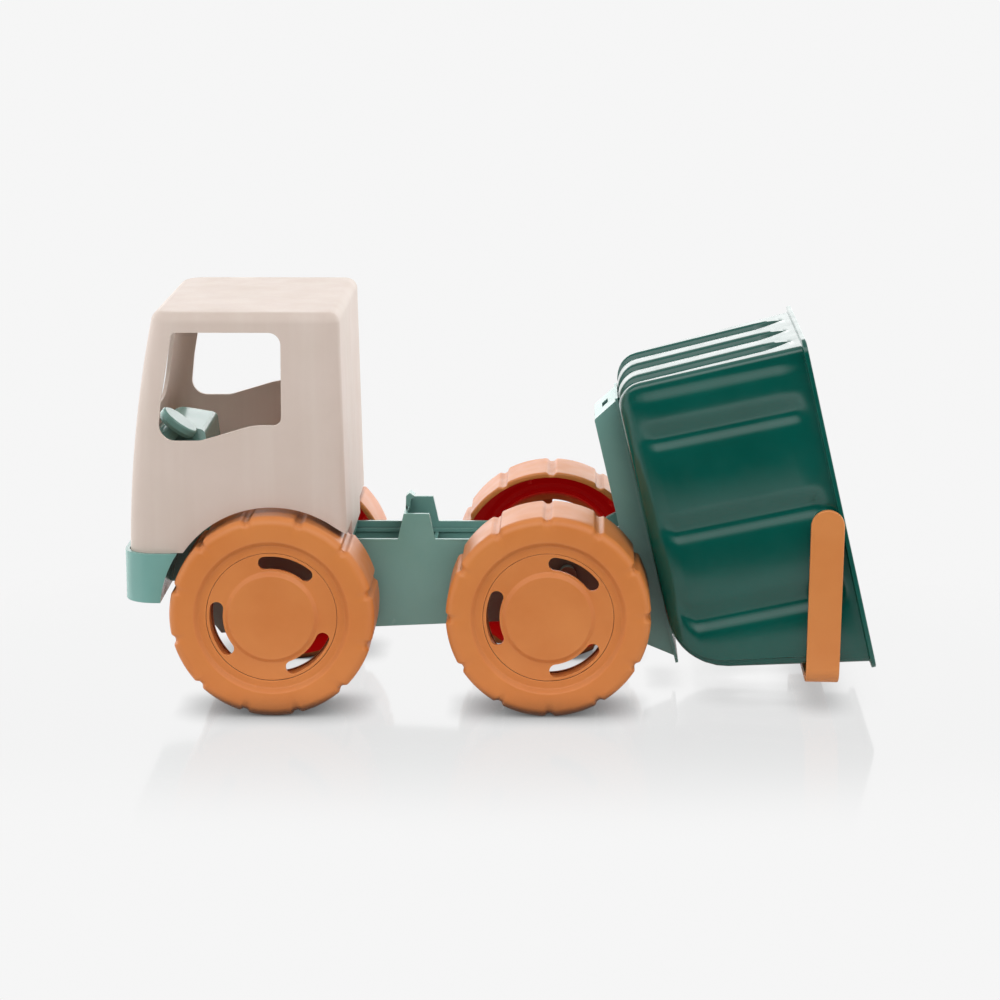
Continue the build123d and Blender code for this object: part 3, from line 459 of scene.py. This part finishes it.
# A box's faces, for corners counted by radius, then depth, then side.
BOX_FACES = ((0, 1, 3, 2), (4, 6, 7, 5), (0, 4, 5, 1), (2, 3, 7, 6), (0, 2, 6, 4), (1, 5, 7, 3))


def wheel_point(centre, side, radius, depth, angle):
    """A wheel place from its radius, depth behind the outer face and angle from the rear."""
    return (
        centre[0] + radius * np.cos(angle),
        centre[1] - side * depth,
        centre[2] - side * radius * np.sin(angle),
    )


def tread_columns(phase):
    """The angles of the tyre's columns, and how deep the nearest groove is at each."""
    pitch = 2 * math.pi / TREAD_GROOVES
    reach = GROOVE_REACH / WHEEL_R
    near = np.linspace(-reach, reach, GROOVE_COLUMNS)
    far = np.linspace(reach, pitch - reach, LAND_COLUMNS)[1:-1]
    offsets = np.concatenate([near, far])
    angles = np.concatenate([phase + k * pitch + offsets for k in range(TREAD_GROOVES)])
    off_groove = (angles - phase + pitch / 2) % pitch - pitch / 2
    depths = band(off_groove * WHEEL_R, TREAD_GROOVE_HALF, TREAD_GROOVE_SHOULDER)
    return angles, depths * TREAD_GROOVE_DEPTH


def grooved_section(section, depth):
    """The tyre's section where a groove of this depth crosses the tread and notches the face."""
    radius, behind = section[:, 0].copy(), section[:, 1].copy()
    tread = np.clip((radius - TREAD_INSIDE_R - 0.1) / SKIN, 0, 1)
    notch = np.clip((radius - NOTCH_FROM_R) / NOTCH_LENGTH, 0, 1) ** NOTCH_CURVE
    notch = notch * (behind < FACE_LIMIT)
    fade = 1 - np.clip((behind - NOTCH_FADE_FROM) / NOTCH_FADE_LENGTH, 0, 1)
    return radius - depth * tread, behind + depth * NOTCH_SHARE * notch * fade


def rib_corners(centre, side, angle):
    """The corners of one stiffening rib inside the tread."""
    return [
        wheel_point(centre, side, math.hypot(radius, across), depth, angle + across / radius)
        for radius in RIB_RADII
        for depth in RIB_DEPTHS
        for across in (-RIB_HALF, RIB_HALF)
    ]


def make_tyre(end, hand):
    node = f"wheel_shell_{end}_{hand}"
    low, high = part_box(node)
    side = -1 if hand == "left" else 1
    outer_face = low.y if side < 0 else high.y
    centre = ((low.x + high.x) / 2 / MM, outer_face / MM, WHEEL_R)
    section = filled_in(outline(TYRE_CORNERS, ARC_STEP), SECTION_GAP)
    phase = math.radians(SLOT_ANGLES[end])
    angles, depths = tread_columns(phase)
    skin = []
    for angle, depth in zip(angles, depths):
        radius, behind = grooved_section(section, depth)
        turned = wheel_point(centre, side, radius, behind, np.full(len(section), angle))
        skin.append(np.stack(turned, axis=1))
    skin = np.concatenate(skin)
    faces = grid_faces(len(angles), len(section), wrap_rings=True)
    ribs = []
    for k in range(RIBS):
        first = len(skin) + len(ribs)
        ribs += rib_corners(centre, side, phase + RIB_TURN + k * 2 * math.pi / RIBS)
        faces += [tuple(first + corner for corner in face) for face in BOX_FACES]
    # the faces inside the tyre, and its ribs, get the painted red shade and glow
    hidden = (section[:, 1] > WEB_BACK - 0.1) & (section[:, 0] < TREAD_INSIDE_R + 0.2)
    hidden &= section[:, 0] > SLEEVE_R - 0.4
    inside = np.concatenate([np.tile(hidden, len(angles)), np.ones(len(ribs))]).astype(np.float32)
    verts = np.concatenate([skin, np.array(ribs)])
    body = f"{end}_wheelset"
    piece(f"tyre_{end}_{hand}", verts, faces, body, "orange_tyre", node, 50.0, inside)


for wheel_end in ("front", "rear"):
    for wheel_hand in ("left", "right"):
        make_tyre(wheel_end, wheel_hand)
        dress(f"wheel_hub_{wheel_end}_{wheel_hand}", 0.5)

# ------------------------------------------------------------------ tub

# The tub is built in its bed's frame: along and above are measured from the hinge pin.
tip = math.radians(-joints["tub_tip"]["range_deg"][0])
hinge = np.array(joints["tub_tip"]["pos_m"]) / MM
along_bed = np.array((math.cos(tip), 0.0, -math.sin(tip)))
above_bed = np.array((math.sin(tip), 0.0, math.cos(tip)))
across_bed = np.array((0.0, 1.0, 0.0))

# Heights above the pin of the tub's underside and rim, and the walls' places at each of them.
FOOT, RIM = 48.5, 153.5
TUB_FRONT, TUB_REAR, TUB_HALF = (-99.5, -101.5), (59.2, 76.4), (54.0, 63.4)
FRONT_FOOT_R, REAR_FOOT_R, SIDE_FOOT_R = FOOT_RADII = (13.6, 27.0, 8.0)
CORNER_R = 4.5
CORNER_STEPS = 6
TUB_WALL = 2.4
FLOOR_SHARES = (0.02, 0.25, 0.5, 0.75, 0.92)    # the floor's rings, as shares of its full size

# The rim flange's section: how far below the rim, and how far out from the wall.
FLANGE_THICKNESS, FLANGE_OUT = 2.5, 3.2
RIM_SECTION = (
    (FLANGE_THICKNESS + 0.4, 0.0),
    (FLANGE_THICKNESS, 0.5),
    (FLANGE_THICKNESS, FLANGE_OUT - 0.4),
    (FLANGE_THICKNESS - 0.3, FLANGE_OUT),
    (0.35, FLANGE_OUT),
    (0.0, FLANGE_OUT - 0.4),
    (0.0, 0.5 - TUB_WALL),
    (0.5, -TUB_WALL),
)

# Grooves: places along the side walls and across the end walls, then depths and runs.
SIDE_GROOVES = (-68.0, -15.5, 34.5)
SIDE_GROOVE_DEPTH = 1.75
SIDE_GROOVE_RUN = (102.0, 42.0, 8.0)            # middle height, half length, shoulder
UPPER_HALF, LOWER_HALF = 6.0, 4.2               # a soft upper shoulder and a crisper lower lip
END_GROOVES = (-37.0, 0.0, 37.0)
END_GROOVE_HALF = 9.2
FRONT_GROOVE_DEPTH, FRONT_SHOULDER = 3.2, 2.6
FRONT_POINT, FRONT_TAPER = 145.0, 14.0          # the front grooves end in a point at this height
FRONT_RUN_OUT = (145.6, 4.0)                    # where the groove's depth ends, and over how much
REAR_GROOVE_DEPTH, REAR_SHOULDER = 2.4, 6.0
REAR_GROOVE_RUN = (105.0, 31.0, 10.0)
NARROWEST = 0.06
TAPER_CURVE = 0.6

# Panels between the side grooves swell a little, and the wall steps in along its front edge.
PANEL_FRONT, PANEL_REAR = -96.0, 72.0
PANEL_CROWN = 1.7
PANEL_RUN = (100.0, 42.0, 16.0)
FRONT_STEP, FRONT_STEP_LENGTH = 1.2, 9.0

# Columns keep to fixed lanes while the walls grow, so that a groove's edges stay crisp.
SIDE_LANES = np.linspace(-94.0, 54.0, 100)
END_LANE_LIMIT = 48.5
SHOULDER_LANES = np.linspace(7.6, 10.6, 6)
IN_GROOVE = np.concatenate([-SHOULDER_LANES[::-1], np.linspace(-5.0, 5.0, 5), SHOULDER_LANES])
LAND_LANES = np.array((14.5, 18.5, 22.5, END_LANE_LIMIT))
END_LANES = np.sort(np.concatenate([c + IN_GROOVE for c in END_GROOVES] + [-LAND_LANES, LAND_LANES]))
NO_LANE = 999.0                    # a corner's columns lie far from any groove

# The handle's pivot boss: its turned section as radius and distance from the middle.
BOSS_BORE_R, BOSS_FACE, BOSS_ROOT = 4.06, 66.9, 60.6
BOSS_SECTION = (
    (BOSS_BORE_R, BOSS_ROOT),
    (BOSS_BORE_R, BOSS_FACE - 0.5),
    (BOSS_BORE_R + 0.34, BOSS_FACE),
    (7.0, BOSS_FACE),
    (7.5, BOSS_FACE - 0.5),
    (7.9, 62.6),
    (8.6, BOSS_ROOT),
)
BOSS_COLUMNS = 48


def at(ends, above):
    """A wall's place at a height, from its places at the foot and at the rim."""
    return ends[0] + (ends[1] - ends[0]) * (above - FOOT) / (RIM - FOOT)


def pulled_in(radius, above):
    """How far a wall stands in from its plane over its rounded foot."""
    t = radius - (above - FOOT)
    return 0.0 if t <= 0 else radius - math.sqrt(max(radius * radius - t * t, 0.0))


def lanes_between(lanes, first, last, head_count, tail_count):
    """A wall's columns: its fixed lanes, squeezed only where it is short, and some to each end."""
    low, high = max(lanes[0], first + 0.5), min(lanes[-1], last - 0.5)
    inner = low + (lanes - lanes[0]) * (high - low) / (lanes[-1] - lanes[0])
    head = np.linspace(first, low, head_count, endpoint=False)
    tail = np.linspace(high, last, tail_count + 1, endpoint=False)[1:]
    places = np.concatenate([head, inner, tail])
    return places, np.concatenate([lanes[0] + head - low, lanes, lanes[-1] + tail - high])


def pinch(across, above):
    """Draws the columns of the front grooves together where these end in a point below the rim."""
    left = min(1.0, max(0.0, (FRONT_POINT - above) / FRONT_TAPER))
    width = max(NARROWEST, left ** TAPER_CURVE)
    knots, moved = [-END_LANE_LIMIT], [-END_LANE_LIMIT]
    for c in END_GROOVES:
        knots += [c + IN_GROOVE[0], c + IN_GROOVE[-1]]
        moved += [c + IN_GROOVE[0] * width, c + IN_GROOVE[-1] * width]
    drawn = np.interp(across, knots + [END_LANE_LIMIT], moved + [END_LANE_LIMIT])
    return np.where(np.abs(across) < END_LANE_LIMIT, drawn, across)


def tub_ring(above, inset=0.0, shrink=1.0):
    """One round of the wall at a height: each column's (along, y), outward way and groove lane."""
    h = max(above, FOOT)
    front = at(TUB_FRONT, h) + pulled_in(FRONT_FOOT_R, h) + inset
    rear = at(TUB_REAR, h) - pulled_in(REAR_FOOT_R, h) - inset
    half = at(TUB_HALF, h) - pulled_in(SIDE_FOOT_R, h) - inset
    r = CORNER_R - inset
    long_at, long_lane = lanes_between(SIDE_LANES, front + r, rear - r, 2, 12)
    wide_at, wide_lane = lanes_between(END_LANES, -(half - r), half - r, 4, 4)
    front_at = pinch(wide_at, above)
    places, ways, lanes = [], [], []

    def wall(along, y, way, lane):
        places.append(np.stack(np.broadcast_arrays(along, y), axis=1))
        ways.append(np.tile(way, (len(lane), 1)))
        lanes.append(lane)

    def corner(start, along, y):
        angles = np.radians(start + 90 * np.arange(CORNER_STEPS) / CORNER_STEPS)
        way = np.stack([np.cos(angles), np.sin(angles)], axis=1)
        places.append(np.array((along, y)) + r * way)
        ways.append(way)
        lanes.append(np.full(CORNER_STEPS, NO_LANE))

    back_at = np.append(rear - r, long_at[:0:-1])
    back_lane = np.append(PANEL_REAR, long_lane[:0:-1])
    wall(long_at, -half, (0.0, -1.0), long_lane)
    corner(-90, rear - r, -half + r)
    wall(rear, wide_at, (1.0, 0.0), wide_lane)
    corner(0, rear - r, half - r)
    wall(back_at, half, (0.0, 1.0), back_lane)
    corner(90, front + r, half - r)
    wall(front, -front_at, (-1.0, 0.0), -wide_lane)
    corner(180, front + r, -half + r)
    middle = np.array(((front + rear) / 2, 0.0))
    places = middle + (np.concatenate(places) - middle) * shrink
    return places, np.concatenate(ways), np.concatenate(lanes)


def run(above, middle, half, shoulder):
    """1 along a feature's run up the wall, fading out at its ends."""
    return band(above - middle, half, shoulder)


def side_relief(lanes, above):
    """How far a side wall stands out (+) or in (-): crowned panels between its grooves."""
    out = np.zeros(len(lanes))
    panels = [PANEL_FRONT, *SIDE_GROOVES, PANEL_REAR]
    for a, b in zip(panels, panels[1:]):
        swell = np.sin(math.pi * np.clip((lanes - a) / (b - a), 0, 1))
        out += PANEL_CROWN * swell * run(above, *PANEL_RUN)
    for c in SIDE_GROOVES:
        upper = band(lanes - c, UPPER_HALF, 2 * UPPER_HALF)
        lower = band(lanes - c, LOWER_HALF, 2 * LOWER_HALF)
        out -= SIDE_GROOVE_DEPTH * np.where(lanes < c, upper, lower) * run(above, *SIDE_GROOVE_RUN)
    return out


def end_relief(lanes, depth, shoulder):
    """How far an end wall stands in at its three grooves."""
    return -depth * sum(band(lanes - c, END_GROOVE_HALF, shoulder) for c in END_GROOVES)


def tub_relief(places, ways, lanes, above):
    """How far the wall stands out (+) or in (-) at each column."""
    side = np.abs(ways[:, 1]) > 0.99
    front, rear = ways[:, 0] < -0.99, ways[:, 0] > 0.99
    front_depth = FRONT_GROOVE_DEPTH * np.clip((FRONT_RUN_OUT[0] - above) / FRONT_RUN_OUT[1], 0, 1)
    rear_depth = REAR_GROOVE_DEPTH * run(above, *REAR_GROOVE_RUN)
    out = np.zeros(len(places))
    out += np.where(side, side_relief(lanes, above), 0.0)
    out += np.where(front, end_relief(lanes, front_depth, FRONT_SHOULDER), 0.0)
    out += np.where(rear, end_relief(lanes, rear_depth, REAR_SHOULDER), 0.0)
    step = 1 - smooth((places[:, 0] - PANEL_FRONT) / FRONT_STEP_LENGTH)
    return out - FRONT_STEP * step * ways[:, 1] ** 2


def bed(places, above):
    """Places in the bed's frame, in the object's frame."""
    along, across = np.outer(places[:, 0], along_bed), np.outer(places[:, 1], across_bed)
    return hinge + along + across + above * above_bed


def tub_heights(start):
    """The wall's rings: close over its rounded foot and where the front grooves end."""
    heights = {start}
    for radius in FOOT_RADII:
        heights |= {FOOT + radius * (1 - math.cos(math.radians(a))) for a in range(12, 91, 13)}
    heights |= set(np.linspace(FOOT + REAR_FOOT_R, RIM - 3.0, 30))
    heights |= set(np.linspace(FRONT_POINT - 16.0, FRONT_POINT + 1.6, 17))
    heights = sorted(h for h in heights if h >= start)
    kept = [heights[0]]
    for h in heights[1:]:
        if h - kept[-1] > 0.25:
            kept.append(h)
    return kept


def flat_ring(above, height, inset=0.0, shrink=1.0):
    """A ring without relief: the wall's round at one height, placed at another."""
    return bed(tub_ring(above, inset, shrink)[0], height)


def wall_ring(above, inset=0.0):
    """A ring with the wall's panels and grooves."""
    places, ways, lanes = tub_ring(above, inset)
    return bed(places + ways * tub_relief(places, ways, lanes, above)[:, None], above)


def boss_rings(side):
    """The pivot boss on one side, as rings about the handle's axis."""
    pivot = np.array(joints["handle_swing"]["pos_m"]) / MM
    around = np.linspace(0, 2 * math.pi, BOSS_COLUMNS, endpoint=False)
    return [
        np.stack(
            [
                pivot[0] + radius * np.cos(around),
                np.full(BOSS_COLUMNS, side * y),
                pivot[2] + radius * np.sin(around),
            ],
            axis=1,
        )
        for radius, y in BOSS_SECTION
    ]


def make_tub():
    """One closed skin: up the outside from the middle of the floor, over the rim, down inside."""
    floor = FOOT + TUB_WALL
    rings = [flat_ring(FOOT, FOOT, shrink=share) for share in FLOOR_SHARES]
    rings += [wall_ring(h) for h in tub_heights(FOOT)]
    rings += [flat_ring(RIM, RIM - below, inset=-out) for below, out in RIM_SECTION]
    rings += [wall_ring(h, TUB_WALL) for h in reversed(tub_heights(floor))]
    rings += [flat_ring(floor, floor, TUB_WALL, share) for share in reversed(FLOOR_SHARES)]
    columns = len(rings[0])
    last = (len(rings) - 1) * columns
    faces = grid_faces(len(rings), columns)
    faces += [tuple(range(columns))[::-1], tuple(range(last, last + columns))]
    verts = np.concatenate(rings)
    for side in (-1, 1):
        faces += grid_faces(len(BOSS_SECTION), BOSS_COLUMNS, wrap_rings=True, first=len(verts))
        verts = np.concatenate([verts, *boss_rings(side)])
    piece("tub", verts, faces, "tipper", "dark_green", "tipper_tub", 40.0)


make_tub()

# ------------------------------------------------------------------ CAD nodes shown as they are

for cad_name, radius in (
    ("chassis", 0.45),
    ("cab_shell", 0.5),
    ("dashboard_console", 0.6),
    ("steering_wheel", 0.4),
    ("tipper_tray", 0.4),
    ("carry_handle", 0.9),
    ("front_axle", 0.0),
    ("rear_axle", 0.0),
    ("hinge_pin", 0.0),
    ("hinge_pin_caps", 0.4),
    ("tub_screws", 0.0),
    ("cab_screws", 0.0),
):
    dress(cad_name, radius)

# ------------------------------------------------------------------ stage, light, camera

front_wheel = np.array(joints["front_wheels_spin"]["pos_m"])
rear_wheel = np.array(joints["rear_wheels_spin"]["pos_m"])
axle_mid = (front_wheel + rear_wheel) / 2
centre_x = (cad_low.x + cad_high.x) / 2

FLOOR_MIDDLE = (centre_x, -0.03, 0.0)
FLOOR_RADII = (0.1, 0.25, 0.45, 0.7, 1.0)
FLOOR_COLUMNS = 96
FLOOR_WHITE = (0.80, 0.80, 0.80, 1.0)
FLOOR_ROUGH = 0.6
BACKDROP = 0.92                    # how bright the camera sees the space behind
FLOOR_GLOW = 0.76                  # how bright the camera sees the floor near the toy
FLOOR_GLOSS = 0.067
GLOSS_ROUGH = 0.09
SHEET_TURN = (-0.30, -0.10)        # in front of this Y the floor grades into the backdrop
CONTACT_REACH = 0.024
CONTACT_SHADE = 0.10
FLOOR_SQUEEZE = (1.0, 1.5, 1.0)    # the floor's edge is an oval, wider than deep
FLOOR_EDGE = (0.26, 0.52)          # the floor fades out between these radii
ROOM = 0.04                        # light from every side


def floor_seen(graph, where):
    """What the camera sees: an even white sheet, a contact shade close to the toy, a weak gloss."""
    split = graph.add("SeparateXYZ", {0: where})
    openness = graph.add("AmbientOcclusion", {"Distance": CONTACT_REACH}, samples=12).outputs["AO"]
    shade = graph.ramp(openness, 0.0, 0.95, CONTACT_SHADE, 1.0)
    sheet = graph.smooth_ramp(split.outputs["Y"], *SHEET_TURN, BACKDROP, FLOOR_GLOW)
    sheen = graph.smooth_ramp(split.outputs["Y"], *SHEET_TURN, 0.0, FLOOR_GLOSS)
    glow = graph.add("Emission", {"Strength": graph.maths("MULTIPLY", shade, sheet)})
    gloss = graph.add("BsdfGlossy", {"Color": sheen, "Roughness": GLOSS_ROUGH})
    return graph.add("AddShader", {0: glow.outputs[0], 1: gloss.outputs[0]}).outputs[0]


def floor_material():
    """Plain white to every ray but the camera's, and clear beyond its oval edge."""
    material = bpy.data.materials.new("floor")
    graph = Graph(material)
    matt = graph.nodes["Principled BSDF"]
    graph.feed(matt.inputs["Base Color"], FLOOR_WHITE)
    graph.feed(matt.inputs["Roughness"], FLOOR_ROUGH)
    where = graph.add("NewGeometry").outputs["Position"]
    is_camera = graph.add("LightPath").outputs["Is Camera Ray"]
    seen = floor_seen(graph, where)
    sheet = graph.add("MixShader", {0: is_camera, 1: matt.outputs[0], 2: seen}).outputs[0]
    away = graph.vector("SUBTRACT", where, FLOOR_MIDDLE)
    distance = graph.vector("LENGTH", graph.vector("MULTIPLY", away, FLOOR_SQUEEZE))
    clear = graph.add("BsdfTransparent").outputs[0]
    faded = graph.add("MixShader", {0: graph.smooth_ramp(distance, *FLOOR_EDGE), 1: sheet, 2: clear})
    graph.feed(graph.nodes["Material Output"].inputs["Surface"], faded.outputs[0])
    return material


def make_floor():
    """A round white table top whose edge fades out."""
    middle = np.array(FLOOR_MIDDLE)
    verts = [FLOOR_MIDDLE]
    for radius in FLOOR_RADII:
        for k in range(FLOOR_COLUMNS):
            angle = 2 * math.pi * k / FLOOR_COLUMNS
            verts.append(tuple(middle + radius * np.array((math.cos(angle), math.sin(angle), 0.0))))
    faces = [(0, 1 + k, 1 + (k + 1) % FLOOR_COLUMNS) for k in range(FLOOR_COLUMNS)]
    faces += [face[::-1] for face in grid_faces(len(FLOOR_RADII), FLOOR_COLUMNS, first=1)]
    mesh = bpy.data.meshes.new("floor")
    mesh.from_pydata(verts, [], faces)
    mesh.materials.append(floor_material())
    floor = bpy.data.objects.new("floor", mesh)
    bpy.context.scene.collection.objects.link(floor)


def make_world():
    """Studio: a bright backdrop behind, a soft ceiling, a dim room behind the camera."""
    world = bpy.data.worlds.new("studio")
    bpy.context.scene.world = world
    graph = Graph(world)
    way = graph.add("TexCoord").outputs["Generated"]
    x, y, z = graph.add("SeparateXYZ", {0: way}).outputs

    def product(a, b):
        return graph.maths("MULTIPLY", a, b)

    def brighter(a, b):
        return graph.maths("MAXIMUM", a, b)

    ramp = graph.smooth_ramp
    behind = product(ramp(y, 0.0, 0.35), ramp(z, 0.25, 0.50, 2.15, 0.60))
    behind = product(behind, ramp(z, -0.10, 0.08, 0.62, 1.0))
    overhead = product(ramp(z, 0.22, 0.62, 0.0, 1.95), ramp(z, 0.80, 0.92, 1.0, 0.0))
    softbox = product(overhead, ramp(y, -0.35, -0.10, 1.0, 0.0))
    wings = ramp(graph.maths("ABSOLUTE", x), 0.55, 0.90, 0.0, 0.85)
    table = ramp(z, -0.52, -0.20, 1.0, 0.0)
    ceiling = ramp(z, 0.80, 0.95, 0.0, 0.60)
    light = brighter(brighter(behind, softbox), brighter(wings, table))
    light = graph.maths("ADD", brighter(light, ceiling), ROOM)
    is_camera = graph.add("LightPath").outputs["Is Camera Ray"]
    background = graph.nodes["Background"]
    graph.feed(background.inputs["Strength"], graph.mix(is_camera, light, BACKDROP, "VALUE"))
    graph.feed(background.inputs["Color"], (1, 1, 1, 1))


SENSOR_WIDTH = 36.0
LENS = 108.54
LENS_SHIFT = -0.05
CLIP = (0.05, 50.0)
CAMERA_BEHIND_AXLES = 0.091786     # from the middle between the axles
CAMERA_Y, CAMERA_HEIGHT = -1.640370, 0.456834
LOOK_DOWN, LOOK_REAR = 0.213, -0.010838         # radians below level, and towards the truck's rear


def make_camera():
    """The camera stands at the truck's left side and looks a little down on it."""
    lens = bpy.data.cameras.new("camera")
    lens.sensor_width = SENSOR_WIDTH
    lens.lens = LENS
    lens.shift_x = LENS_SHIFT
    lens.clip_start, lens.clip_end = CLIP
    camera = bpy.data.objects.new("camera", lens)
    level = math.cos(LOOK_DOWN)
    ahead = Vector((math.sin(LOOK_REAR) * level, math.cos(LOOK_REAR) * level, -math.sin(LOOK_DOWN)))
    camera.location = (axle_mid[0] + CAMERA_BEHIND_AXLES, CAMERA_Y, CAMERA_HEIGHT)
    camera.rotation_mode = "QUATERNION"
    camera.rotation_quaternion = ahead.to_track_quat("-Z", "Y")
    bpy.context.scene.collection.objects.link(camera)
    bpy.context.scene.camera = camera


make_floor()
make_world()
make_camera()
bpy.context.scene.view_settings.view_transform = "Standard"
